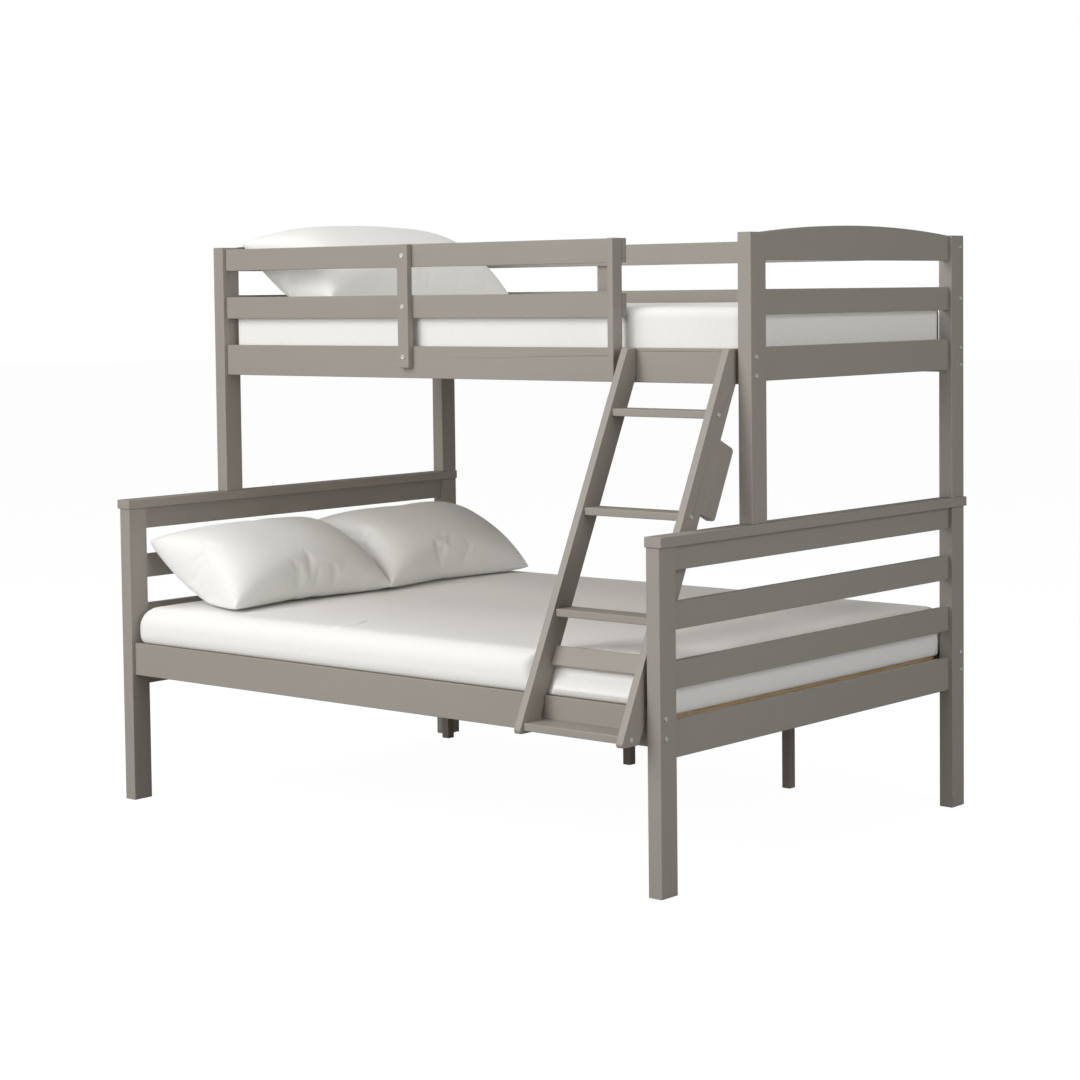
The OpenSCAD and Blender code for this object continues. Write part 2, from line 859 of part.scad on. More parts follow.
module ladder_mount_bolts() {
    color(zinc) mount_bolt_places() bolt(rail_t + stile_t - cut);
}

module post_dowels() {
    color(bare_wood) dowel_places() cylinder(d = dowel_d, h = dowel_l, $fn = round_fn);
}

module lower_mattress() {
    color(linen) difference() {
        translate([-mattress_l / 2, 0, 0]) side_profile(mattress_l) {
            lower_mattress_core();
            mattress_swelling();
        }
        ladder_recess();
    }
}

module upper_mattress() {
    color(linen) mattress(upper_rail_y + rail_t + mattress_gap, upper_slat_z);
}

module lower_pillow_front() {
    color(linen) pillow(pillow_l, lower_mid_y - pillow_l / 2 - lift_clear, lower_bed_top);
}

module lower_pillow_back() {
    color(linen) pillow(pillow_l, lower_mid_y + pillow_l / 2 + lift_clear, lower_bed_top);
}

module upper_pillow() {
    color(linen) pillow(long_pillow_l, long_pillow_y, upper_bed_top);
}

lower_post_head_front();
lower_post_head_back();
lower_post_foot_front();
lower_post_foot_back();
cap_board_head();
cap_board_foot();
lower_top_rail_head();
lower_top_rail_foot();
lower_high_slat_head();
lower_low_slat_head();
lower_high_slat_foot();
lower_low_slat_foot();
lower_bottom_rail_head();
lower_bottom_rail_foot();
lower_side_rail_front();
lower_side_rail_back();
upper_post_head_front();
upper_post_head_back();
upper_post_foot_front();
upper_post_foot_back();
arched_rail_head();
arched_rail_foot();
upper_mid_rail_head();
upper_mid_rail_foot();
upper_bottom_rail_head();
upper_bottom_rail_foot();
upper_side_rail_front();
upper_side_rail_back();
guard_top_rail_front();
guard_mid_rail_front();
guard_top_rail_back();
guard_mid_rail_back();
guard_upright_middle();
guard_upright_end();
guard_upright_back();
ladder_stile_head();
ladder_stile_foot();
ladder_tread_bottom();
ladder_tread_second();
ladder_tread_third();
ladder_tread_top();
ladder_stretcher();
ladder_spacer_block();
lower_cleats();
upper_cleats();
lower_slats();
upper_slats();
support_beam();
support_legs();
bed_bolts();
barrel_nuts();
guard_bolts();
ladder_bolts();
ladder_mount_bolts();
post_dowels();
lower_mattress();
upper_mattress();
lower_pillow_front();
lower_pillow_back();
upper_pillow();
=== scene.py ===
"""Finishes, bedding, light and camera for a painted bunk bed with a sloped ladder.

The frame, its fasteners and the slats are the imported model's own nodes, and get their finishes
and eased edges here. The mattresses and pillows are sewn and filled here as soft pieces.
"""

import json
import logging
import math
from dataclasses import dataclass, field
from enum import Enum
from typing import Any, Callable, Dict, List, Optional, Sequence, Tuple

import bmesh
import bpy
import numpy as np
from mathutils import Matrix, Vector, noise

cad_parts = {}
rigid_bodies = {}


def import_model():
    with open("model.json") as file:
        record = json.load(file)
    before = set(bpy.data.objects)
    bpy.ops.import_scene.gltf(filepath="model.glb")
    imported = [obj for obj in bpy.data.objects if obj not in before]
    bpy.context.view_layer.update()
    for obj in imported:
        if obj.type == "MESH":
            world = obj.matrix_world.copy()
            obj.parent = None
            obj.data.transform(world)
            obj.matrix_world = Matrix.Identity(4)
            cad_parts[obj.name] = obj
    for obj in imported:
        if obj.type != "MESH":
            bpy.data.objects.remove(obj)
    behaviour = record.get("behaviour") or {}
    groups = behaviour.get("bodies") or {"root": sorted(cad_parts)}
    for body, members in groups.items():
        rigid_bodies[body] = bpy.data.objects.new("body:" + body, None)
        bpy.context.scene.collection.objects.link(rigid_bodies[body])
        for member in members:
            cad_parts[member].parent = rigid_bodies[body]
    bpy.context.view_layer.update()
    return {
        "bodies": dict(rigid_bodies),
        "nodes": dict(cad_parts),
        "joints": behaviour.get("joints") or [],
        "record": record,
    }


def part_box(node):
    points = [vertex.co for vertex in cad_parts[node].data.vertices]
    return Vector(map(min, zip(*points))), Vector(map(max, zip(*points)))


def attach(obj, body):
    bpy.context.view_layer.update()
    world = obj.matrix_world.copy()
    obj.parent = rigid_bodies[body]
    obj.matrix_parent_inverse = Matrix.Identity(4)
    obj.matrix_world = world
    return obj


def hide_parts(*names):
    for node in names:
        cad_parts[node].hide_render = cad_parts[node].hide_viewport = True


LOG = logging.getLogger("bunk_bed")
MM = 0.001

Colour = Tuple[float, float, float, float]
Point = Tuple[float, float, float]


class Grain(Enum):
    """The way the grain of a board runs."""

    ALONG_X = "x"
    ALONG_Y = "y"
    UPRIGHT = "z"
    LADDER = "ladder"


def linear(hex_code: str) -> Colour:
    """Turns an sRGB colour into the linear one that shaders use.

    Args:
        hex_code: Six hexadecimal digits, with or without a leading hash.

    Returns:
        Linear red, green, blue and an alpha of 1.
    """
    digits = hex_code.lstrip("#")
    parts = [int(digits[i : i + 2], 16) / 255 for i in (0, 2, 4)]
    red, green, blue = [
        c / 12.92 if c <= 0.04045 else ((c + 0.055) / 1.055) ** 2.4 for c in parts
    ]
    return (red, green, blue, 1.0)


def add_node(
    tree: bpy.types.NodeTree,
    kind: str,
    inputs: Optional[Dict[Any, Any]] = None,
    **settings: Any,
) -> bpy.types.Node:
    """Adds one node, sets it up and links what feeds it.

    Args:
        tree: The node tree that gets the node.
        kind: The node's type name.
        inputs: Input name or index to a value, or to the socket that feeds it.
        settings: Attributes of the node itself.

    Returns:
        The new node.
    """
    node = tree.nodes.new(kind)
    for name, value in settings.items():
        setattr(node, name, value)
    for key, value in (inputs or {}).items():
        if isinstance(value, bpy.types.NodeSocket):
            tree.links.new(value, node.inputs[key])
        else:
            node.inputs[key].default_value = value
    return node


def set_ramp(node: bpy.types.Node, stops: Sequence[Tuple[float, Colour]]) -> None:
    """Gives a colour ramp its stops.

    Args:
        node: The ramp.
        stops: Position and colour of each stop, in order.
    """
    elements = node.color_ramp.elements
    while len(elements) < len(stops):
        elements.new(0.5)
    for element, (position, colour) in zip(elements, stops):
        element.position = position
        element.color = colour


def start_material(name: str) -> Tuple[bpy.types.Material, bpy.types.Node]:
    """Makes an empty node material with its surface shader.

    Args:
        name: What the finish is.

    Returns:
        The material and its surface shader.
    """
    material = bpy.data.materials.new(name)
    material.use_nodes = True
    tree = material.node_tree
    tree.nodes.clear()
    shader = add_node(tree, "ShaderNodeBsdfPrincipled")
    add_node(tree, "ShaderNodeOutputMaterial", {"Surface": shader.outputs["BSDF"]})
    return material, shader


@dataclass(frozen=True)
class PaintedWood:
    """Satin furniture lacquer, sprayed on planed solid wood.

    The film is smooth and a little soft, so it gives a broad, dim highlight. The grain under it
    shows as very faint long streaks, and the tone drifts slightly from board to board.
    """

    name: str
    colour: str
    grain: Grain
    roughness: float = 0.46
    streak_mm: float = 9.0
    streak_length: float = 26.0

    def turn(self) -> Tuple[float, float, float]:
        """Rotation that lays the pattern's long way along the grain."""
        lean = math.radians(-25.4)
        return {
            Grain.ALONG_X: (0.0, 0.0, 0.0),
            Grain.ALONG_Y: (0.0, 0.0, math.pi / 2),
            Grain.UPRIGHT: (0.0, math.pi / 2, 0.0),
            Grain.LADDER: (lean, 0.0, 0.0),
        }[self.grain]

    def stretch(self) -> Tuple[float, float, float]:
        """Scale of the pattern, drawn out along the grain."""
        short = 1.0
        long = 1.0 / self.streak_length
        if self.grain is Grain.LADDER:
            return (short, short, long)
        return (long, short, short)

    def build(self) -> bpy.types.Material:
        """Makes the material."""
        material, shader = start_material(self.name)
        tree = material.node_tree
        place = add_node(tree, "ShaderNodeTexCoord").outputs["Object"]
        turned = add_node(
            tree,
            "ShaderNodeMapping",
            {"Vector": place, "Rotation": self.turn()},
            vector_type="POINT",
        ).outputs["Vector"]
        along = add_node(
            tree, "ShaderNodeMapping", {"Vector": turned, "Scale": self.stretch()}
        ).outputs["Vector"]
        # Long streaks of the grain, about 9 mm apart and a quarter of a metre long.
        streaks = add_node(
            tree,
            "ShaderNodeTexNoise",
            {
                "Vector": along,
                "Scale": 1.0 / (self.streak_mm * MM),
                "Detail": 5.0,
                "Roughness": 0.62,
                "Distortion": 0.4,
            },
        ).outputs["Fac"]
        # Slow drift of the tone over half a metre, so no two boards are quite alike.
        drift = add_node(
            tree,
            "ShaderNodeTexNoise",
            {"Vector": place, "Scale": 2.3, "Detail": 2.0, "Roughness": 0.5},
        ).outputs["Fac"]
        # Spray texture: real droplets are 0.5 mm, drawn at 1.6 mm so that they show at all.
        spray = add_node(
            tree,
            "ShaderNodeTexNoise",
            {"Vector": place, "Scale": 620.0, "Detail": 2.0, "Roughness": 0.6},
        ).outputs["Fac"]
        base = linear(self.colour)
        light = tuple(min(1.0, c * 1.015) for c in base[:3]) + (1.0,)
        dark = tuple(c * 0.975 for c in base[:3]) + (1.0,)
        tone = add_node(tree, "ShaderNodeValToRGB", {"Fac": streaks})
        set_ramp(tone, [(0.28, dark), (0.5, base), (0.74, light)])
        warm = tuple(c * f for c, f in zip(base[:3], (0.985, 0.965, 0.94))) + (1.0,)
        shift = add_node(tree, "ShaderNodeValToRGB", {"Fac": drift})
        set_ramp(shift, [(0.42, (0.0, 0.0, 0.0, 1.0)), (0.62, (1.0, 1.0, 1.0, 1.0))])
        amount = add_node(
            tree, "ShaderNodeMath", {0: shift.outputs["Color"], 1: 0.35}, operation="MULTIPLY"
        ).outputs["Value"]
        mixed = add_node(
            tree,
            "ShaderNodeMix",
            {"Factor": amount, "A": tone.outputs["Color"], "B": warm},
            data_type="RGBA",
        )
        tree.links.new(mixed.outputs["Result"], shader.inputs["Base Color"])
        rough = add_node(
            tree,
            "ShaderNodeMapRange",
            {
                "Value": streaks,
                "From Min": 0.3,
                "From Max": 0.7,
                "To Min": self.roughness - 0.05,
                "To Max": self.roughness + 0.07,
            },
        ).outputs["Result"]
        tree.links.new(rough, shader.inputs["Roughness"])
        height = add_node(
            tree,
            "ShaderNodeMath",
            {0: streaks, 1: 0.55, 2: spray},
            operation="MULTIPLY_ADD",
        ).outputs["Value"]
        bump = add_node(
            tree,
            "ShaderNodeBump",
            {"Strength": 0.07, "Distance": 0.0005, "Height": height},
        )
        tree.links.new(bump.outputs["Normal"], shader.inputs["Normal"])
        return material


@dataclass(frozen=True)
class PlanedWood:
    """Planed, unpainted pine: pale, with darker late-wood lines every few millimetres."""

    name: str
    pale: str
    deep: str
    grain: Grain
    ring_mm: float = 7.0

    def build(self) -> bpy.types.Material:
        """Makes the material."""
        material, shader = start_material(self.name)
        tree = material.node_tree
        place = add_node(tree, "ShaderNodeTexCoord").outputs["Object"]
        across = (1.0, 0.05, 1.0) if self.grain is Grain.ALONG_Y else (0.05, 1.0, 1.0)
        along = add_node(
            tree, "ShaderNodeMapping", {"Vector": place, "Scale": across}
        ).outputs["Vector"]
        rings = add_node(
            tree,
            "ShaderNodeTexNoise",
            {"Vector": along, "Scale": 1.0 / (self.ring_mm * MM), "Detail": 4.0, "Distortion": 1.1},
        ).outputs["Fac"]
        tone = add_node(tree, "ShaderNodeValToRGB", {"Fac": rings})
        set_ramp(tone, [(0.3, linear(self.deep)), (0.62, linear(self.pale))])
        tree.links.new(tone.outputs["Color"], shader.inputs["Base Color"])
        rough = add_node(
            tree,
            "ShaderNodeMapRange",
            {"Value": rings, "To Min": 0.5, "To Max": 0.72},
        ).outputs["Result"]
        tree.links.new(rough, shader.inputs["Roughness"])
        bump = add_node(
            tree, "ShaderNodeBump", {"Strength": 0.25, "Distance": 0.0004, "Height": rings}
        )
        tree.links.new(bump.outputs["Normal"], shader.inputs["Normal"])
        return material


@dataclass(frozen=True)
class ZincPlate:
    """Zinc plated steel of the bolts: bright, slightly mottled and softly reflecting."""

    name: str
    colour: str = "#f0f0ee"
    roughness: float = 0.52

    def build(self) -> bpy.types.Material:
        """Makes the material."""
        material, shader = start_material(self.name)
        tree = material.node_tree
        shader.inputs["Metallic"].default_value = 1.0
        place = add_node(tree, "ShaderNodeTexCoord").outputs["Object"]
        # Zinc crystals, 2 mm across.
        mottle = add_node(
            tree,
            "ShaderNodeTexVoronoi",
            {"Vector": place, "Scale": 500.0},
        ).outputs["Distance"]
        base = linear(self.colour)
        dull = tuple(c * 0.8 for c in base[:3]) + (1.0,)
        tone = add_node(tree, "ShaderNodeValToRGB", {"Fac": mottle})
        set_ramp(tone, [(0.1, base), (0.9, dull)])
        tree.links.new(tone.outputs["Color"], shader.inputs["Base Color"])
        rough = add_node(
            tree,
            "ShaderNodeMapRange",
            {"Value": mottle, "To Min": self.roughness - 0.06, "To Max": self.roughness + 0.1},
        ).outputs["Result"]
        tree.links.new(rough, shader.inputs["Roughness"])
        return material


@dataclass(frozen=True)
class WovenCotton:
    """Washed white cotton, plain woven.

    It scatters light evenly, with a faint sheen at grazing angles, small slubs in the yarn and
    soft creases from folding.
    """

    name: str
    colour: str
    thread_mm: float = 2.2
    crease: float = 0.35

    def build(self) -> bpy.types.Material:
        """Makes the material."""
        material, shader = start_material(self.name)
        tree = material.node_tree
        shader.inputs["Sheen Weight"].default_value = 0.12
        shader.inputs["Sheen Roughness"].default_value = 0.5
        shader.inputs["Specular IOR Level"].default_value = 0.25
        place = add_node(tree, "ShaderNodeTexCoord").outputs["Object"]
        # Real threads are 0.3 mm apart. They are drawn 2.2 mm apart so that the weave can show.
        turns = 1.0 / (self.thread_mm * MM) / math.tau * 2.0
        threads = [
            add_node(
                tree,
                "ShaderNodeTexWave",
                {
                    "Vector": place,
                    "Scale": turns,
                    "Distortion": 1.2,
                    "Detail": 2.0,
                    "Detail Scale": 2.0,
                },
                wave_type="BANDS",
                bands_direction=way,
            ).outputs["Fac"]
            for way in ("X", "Y", "Z")
        ]
        weave = add_node(
            tree, "ShaderNodeMath", {0: threads[0], 1: threads[1]}, operation="ADD"
        ).outputs["Value"]
        weave = add_node(
            tree, "ShaderNodeMath", {0: weave, 1: threads[2]}, operation="ADD"
        ).outputs["Value"]
        slubs = add_node(
            tree,
            "ShaderNodeTexNoise",
            {"Vector": place, "Scale": 160.0, "Detail": 3.0, "Roughness": 0.6},
        ).outputs["Fac"]
        # Creases left from folding, 60 to 120 mm across.
        creases = add_node(
            tree,
            "ShaderNodeTexNoise",
            {"Vector": place, "Scale": 11.0, "Detail": 3.0, "Roughness": 0.55, "Distortion": 1.6},
        ).outputs["Fac"]
        base = linear(self.colour)
        shade = tuple(c * 0.965 for c in base[:3]) + (1.0,)
        tone = add_node(tree, "ShaderNodeValToRGB", {"Fac": slubs})
        set_ramp(tone, [(0.3, shade), (0.6, base)])
        tree.links.new(tone.outputs["Color"], shader.inputs["Base Color"])
        rough = add_node(
            tree,
            "ShaderNodeMapRange",
            {"Value": slubs, "To Min": 0.82, "To Max": 0.95},
        ).outputs["Result"]
        tree.links.new(rough, shader.inputs["Roughness"])
        fine = add_node(
            tree,
            "ShaderNodeBump",
            {"Strength": 0.10, "Distance": 0.0004, "Height": weave},
        ).outputs["Normal"]
        soft = add_node(
            tree,
            "ShaderNodeBump",
            {"Strength": self.crease, "Distance": 0.006, "Height": creases, "Normal": fine},
        )
        tree.links.new(soft.outputs["Normal"], shader.inputs["Normal"])
        return material


def only(piece: bpy.types.Object) -> None:
    """Selects one object and makes it the active one.

    Args:
        piece: The object that the next operators work on.
    """
    if bpy.context.object and bpy.context.object.mode != "OBJECT":
        bpy.ops.object.mode_set(mode="OBJECT")
    bpy.ops.object.select_all(action="DESELECT")
    piece.select_set(True)
    bpy.context.view_layer.objects.active = piece


def dress(piece: bpy.types.Object, material: bpy.types.Material) -> None:
    """Puts one material on every slot of a piece.

    Args:
        piece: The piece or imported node.
        material: Its finish.
    """
    if not piece.material_slots:
        piece.data.materials.append(material)
    for slot in piece.material_slots:
        slot.link = "OBJECT"
        slot.material = material


def vertices_of(piece: bpy.types.Object) -> np.ndarray:
    """Reads a mesh's points.

    Args:
        piece: A mesh object.

    Returns:
        One row of x, y and z for each point.
    """
    points = np.empty(len(piece.data.vertices) * 3)
    piece.data.vertices.foreach_get("co", points)
    return points.reshape(-1, 3)


def move_vertices(piece: bpy.types.Object, points: np.ndarray) -> None:
    """Writes a mesh's points.

    Args:
        piece: A mesh object.
        points: One row of x, y and z for each point.
    """
    piece.data.vertices.foreach_set("co", np.ascontiguousarray(points).ravel())
    piece.data.update()


def smooth_step(values: np.ndarray, low: float, high: float) -> np.ndarray:
    """Rises smoothly from 0 at low to 1 at high."""
    t = np.clip((values - low) / (high - low), 0.0, 1.0)
    return t * t * (3.0 - 2.0 * t)


def apply_modifier(piece: bpy.types.Object, kind: str, **settings: Any) -> None:
    """Adds a modifier with its settings and applies it.

    Args:
        piece: The piece it works on.
        kind: The modifier's type.
        settings: Attributes of the modifier.
    """
    only(piece)
    modifier = piece.modifiers.new(kind.title(), kind)
    for name, value in settings.items():
        setattr(modifier, name, value)
    bpy.ops.object.modifier_apply(modifier=modifier.name)


@dataclass
class BedFrame:
    """Every packed board and fastener: picks its finish and eases its edges."""

    nodes: Dict[str, bpy.types.Object]
    paint: str = "#9f9991"
    edge_mm: float = 2.2
    bolt_edge_mm: float = 0.8
    edge_steps: int = 3
    flat_angle: float = 0.6
    sharp_angle: float = 40.0
    weld_gap: float = 1e-5
    materials: Dict[str, bpy.types.Material] = field(default_factory=dict)

    def make_finishes(self) -> None:
        """Builds the finishes that the boards share."""
        for grain in Grain:
            finish = PaintedWood(f"satin_lacquer_{grain.value}", self.paint, grain)
            self.materials[grain.value] = finish.build()
        self.materials["slats"] = PlanedWood(
            "planed_pine_slats", "#cfb48a", "#b8935f", Grain.ALONG_Y
        ).build()
        self.materials["cleats"] = PlanedWood(
            "planed_pine_cleats", "#cdb187", "#b38f5d", Grain.ALONG_X
        ).build()
        self.materials["zinc"] = ZincPlate("zinc_plated_steel").build()
        self.materials["support"] = PaintedWood(
            "matt_support_paint", "#8f857c", Grain.UPRIGHT, roughness=0.6
        ).build()

    def finish_of(self, name: str) -> str:
        """Names the finish of a node.

        Args:
            name: The node.

        Returns:
            The key of its material.
        """
        if "bolts" in name or "nuts" in name:
            return "zinc"
        if "slats" in name:
            return "slats"
        if "cleats" in name or "dowels" in name:
            return "cleats"
        if name.startswith("support_"):
            return "support"
        if name.startswith(("ladder_stile", "ladder_spacer")):
            return Grain.LADDER.value
        if "post" in name or "upright" in name:
            return Grain.UPRIGHT.value
        if name.startswith("cap_board") or "head" in name or "foot" in name:
            return Grain.ALONG_Y.value
        return Grain.ALONG_X.value

    def ease_edges(self, node: bpy.types.Object, width_mm: float) -> None:
        """Rounds a node's sharp edges, as sanding does before the paint.

        Args:
            node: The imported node.
            width_mm: Width of the rounding.
        """
        weld = node.modifiers.new("Join faces", "WELD")
        weld.merge_threshold = self.weld_gap
        dissolve = node.modifiers.new("Whole faces", "DECIMATE")
        dissolve.decimate_type = "DISSOLVE"
        dissolve.angle_limit = math.radians(self.flat_angle)
        bevel = node.modifiers.new("Eased edges", "BEVEL")
        bevel.width = width_mm * MM
        bevel.segments = self.edge_steps
        bevel.limit_method = "ANGLE"
        bevel.angle_limit = math.radians(self.sharp_angle)
        bevel.use_clamp_overlap = False
        bevel.harden_normals = False
        weighted = node.modifiers.new("Flat faces", "WEIGHTED_NORMAL")
        weighted.weight = 100
        weighted.keep_sharp = False

    def build(self, soft_nodes: Sequence[str]) -> None:
        """Dresses every hard node.

        Args:
            soft_nodes: Nodes that soft pieces replace.
        """
        self.make_finishes()
        for name, node in self.nodes.items():
            if name in soft_nodes:
                continue
            key = self.finish_of(name)
            dress(node, self.materials[key])
            if key == "zinc":
                if name in ("bed_bolts", "guard_bolts", "ladder_bolts"):
                    self.ease_edges(node, self.bolt_edge_mm)
            elif name != "post_dowels":
                self.ease_edges(node, self.edge_mm)
            LOG.info("%s: %s", name, key)


# The ladder's stiles: how deep they are, how far they lean in for each metre of height, and how
# far their front stands before the upper rail's face at the top.
STILE_DEPTH = 64.5 * MM
STILE_SLOPE = 0.47386
STILE_TOP_REACH = 36.0 * MM


@dataclass
class LadderRest:
    """Where the leaning ladder presses into the lower mattress."""

    stiles: List[Tuple[float, float]]
    foot_y: float
    foot_z: float
    slope: float
    stretcher_low: float
    clearance: float = 0.0065
    stretcher_gap: float = 0.012
    beside: float = 0.003
    fall: float = 0.95
    far_fall: float = 4.0
    softness: float = 0.006

    @classmethod
    def read(cls) -> "LadderRest":
        """Reads the ladder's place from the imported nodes."""
        head_low, head_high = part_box("ladder_stile_head")
        foot_low, foot_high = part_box("ladder_stile_foot")
        stretcher_low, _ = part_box("ladder_stretcher")
        rail_low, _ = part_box("upper_side_rail_front")
        run = STILE_DEPTH * math.hypot(1.0, STILE_SLOPE)
        # Each stile's front is followed from the upper rail down to the foot.
        top_front = rail_low[1] - STILE_TOP_REACH
        foot_front = top_front - (head_high[2] - head_low[2]) * STILE_SLOPE
        return cls(
            [(head_low[0], head_high[0]), (foot_low[0], foot_high[0])],
            foot_front + run,
            head_low[2],
            STILE_SLOPE,
            stretcher_low[2],
        )

    def back_edge(self, heights: np.ndarray) -> np.ndarray:
        """Y of the stiles' back edge at some heights."""
        return self.foot_y + (heights - self.foot_z) * self.slope

    def press(self, points: np.ndarray) -> np.ndarray:
        """Pushes a mattress's front out of the ladder's way.

        Args:
            points: The mattress's points.

        Returns:
            The points, pressed back where the ladder stands, with a soft fillet beside it.
        """
        x, y, z = points.T
        gap = np.full(len(points), 1.0)
        for low, high in self.stiles:
            gap = np.minimum(gap, np.maximum(np.maximum(low - x, x - high), 0.0))
        between = (x > self.stiles[0][1]) & (x < self.stiles[1][0])
        below = np.maximum(self.stretcher_low - self.stretcher_gap - z, 0.0)
        gap = np.where(between, np.minimum(gap, below), gap)
        gap = np.maximum(gap - self.beside, 0.0)
        limit = self.back_edge(z) + self.clearance - self.fall * gap - self.far_fall * gap * gap
        soft = self.softness
        over = np.clip((y - limit) / soft, -1.0, 1.0)
        pressed = limit + soft * (over + 1.0) ** 2 / 4.0
        result = points.copy()
        result[:, 1] = np.where(y < limit - soft, limit, np.where(y < limit + soft, pressed, y))
        return result


@dataclass
class Crease:
    """A short, thin crease in a cover: a groove that is sharp on one side, with a soft lip."""

    start: Tuple[float, float]
    end: Tuple[float, float]
    depth: float = 0.0032
    bow: float = 0.16
    groove: float = 0.0026
    lip: float = 0.016
    reach: float = 0.035

    def press(self, piece: bpy.types.Object) -> None:
        """Refines the cover round the crease and presses it in.

        Args:
            piece: The mattress.
        """
        a, b = np.array(self.start), np.array(self.end)
        low = np.minimum(a, b) - self.reach
        high = np.maximum(a, b) + self.reach
        only(piece)
        bpy.ops.object.mode_set(mode="EDIT")
        bpy.ops.mesh.select_mode(type="FACE")
        bpy.ops.mesh.select_all(action="DESELECT")
        mesh = bmesh.from_edit_mesh(piece.data)
        for face in mesh.faces:
            x, y, _ = face.calc_center_median()
            face.select = face.normal.z > 0.1 and low[0] < x < high[0] and low[1] < y < high[1]
        bmesh.update_edit_mesh(piece.data)
        bpy.ops.mesh.subdivide(number_cuts=5, smoothness=0.0)
        bpy.ops.object.mode_set(mode="OBJECT")
        points = vertices_of(piece)
        normals = np.empty(len(points) * 3)
        piece.data.vertices.foreach_get("normal", normals)
        normals = normals.reshape(-1, 3)
        length = float(np.hypot(*(b - a)))
        way = (b - a) / length
        flat = points[:, :2] - a
        along = flat @ way
        arc = self.bow * length * np.sin(np.clip(along / length, 0.0, 1.0) * math.pi)
        across = flat @ np.array([-way[1], way[0]]) + arc
        fade = smooth_step(along, 0.0, 0.03) * (1.0 - smooth_step(along, length * 0.5, length))
        dip = np.exp(-((across / self.groove) ** 2))
        lip = 0.7 * np.exp(-(((across - self.lip) / self.lip) ** 2)) * (across > 0)
        upward = (normals[:, 2] > 0.1).astype(float)
        move_vertices(
            piece, points + normals * (self.depth * (lip - dip) * fade * upward)[:, None]
        )


